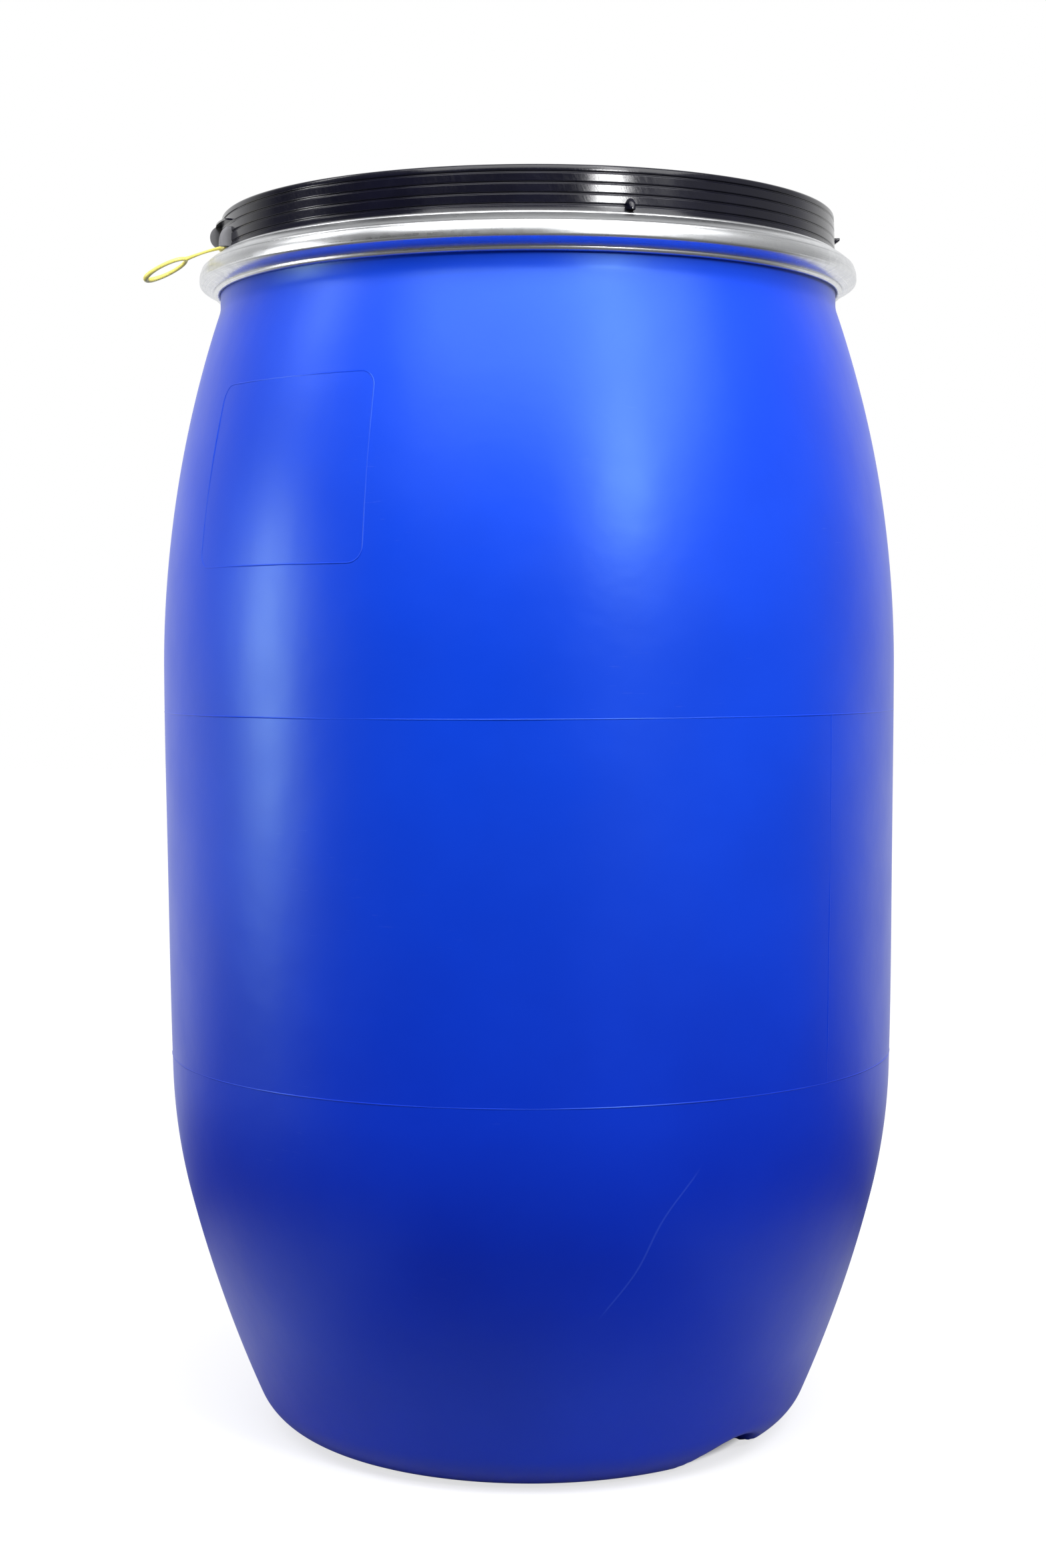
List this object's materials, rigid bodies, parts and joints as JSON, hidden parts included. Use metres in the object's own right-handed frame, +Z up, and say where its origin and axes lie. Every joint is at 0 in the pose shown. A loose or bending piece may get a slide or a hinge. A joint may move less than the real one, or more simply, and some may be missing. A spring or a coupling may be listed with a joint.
{
  "type": "open head drum",
  "caption": "Tapered blue plastic open-head drum with a black ribbed lid, a galvanised lever-locked closing ring and a yellow pull seal; stores and carries loose goods.",
  "frame": {"origin": "centre of the foot, on the floor", "axes": "+Z up along the drum's axis; -X to the side with the pull seal; -Y to the viewer in the picture; +Y to the back, where the closing lever is"},
  "size_m": [0.4903, 0.4856, 0.8],
  "materials": {
    "blue_plastic": "satin blow-moulded polyethylene, solid blue",
    "black_plastic": "satin injection-moulded polyethylene, black",
    "gasket_rubber": "matt foam rubber cord",
    "galvanised_steel": "bright galvanised sheet",
    "yellow_plastic": "satin moulded plastic"
  },
  "bodies": {
    "drum": {"drum_body": "blue_plastic"},
    "lid": {"drum_lid": "black_plastic", "lid_gasket": "gasket_rubber", "security_seal": "yellow_plastic", "ring_band": "galvanised_steel", "lever_bracket": "galvanised_steel", "catch_bracket": "galvanised_steel", "bracket_rivet_1": "galvanised_steel", "bracket_rivet_2": "galvanised_steel", "catch_rivet_1": "galvanised_steel", "catch_rivet_2": "galvanised_steel", "lever_pivot_upper": "galvanised_steel", "lever_pivot_lower": "galvanised_steel"},
    "lever": {"closing_lever": "galvanised_steel", "link_pin": "galvanised_steel"},
    "link": {"hook_link": "galvanised_steel"}
  },
  "joints": [
    {"name": "lid_lift", "type": "slide", "parent": "drum", "child": "lid", "axis": [0, 0, 1], "range_m": [0, 0.3], "deforming": ["ring_band"]},
    {"name": "lever_swing", "type": "hinge", "parent": "lid", "child": "lever", "pos_m": [-0.10633, 0.19999, 0.7612], "axis": [0, 0, -1], "range_deg": [0, 110]},
    {"name": "link_swing", "type": "hinge", "parent": "lever", "child": "link", "pos_m": [-0.1263, 0.18585, 0.7612], "axis": [0, 0, 1], "range_deg": [0, 140]}
  ],
  "couplings": [
    {"joint": "link_swing", "follows": "lever_swing", "ratio": 1.25}
  ]
}
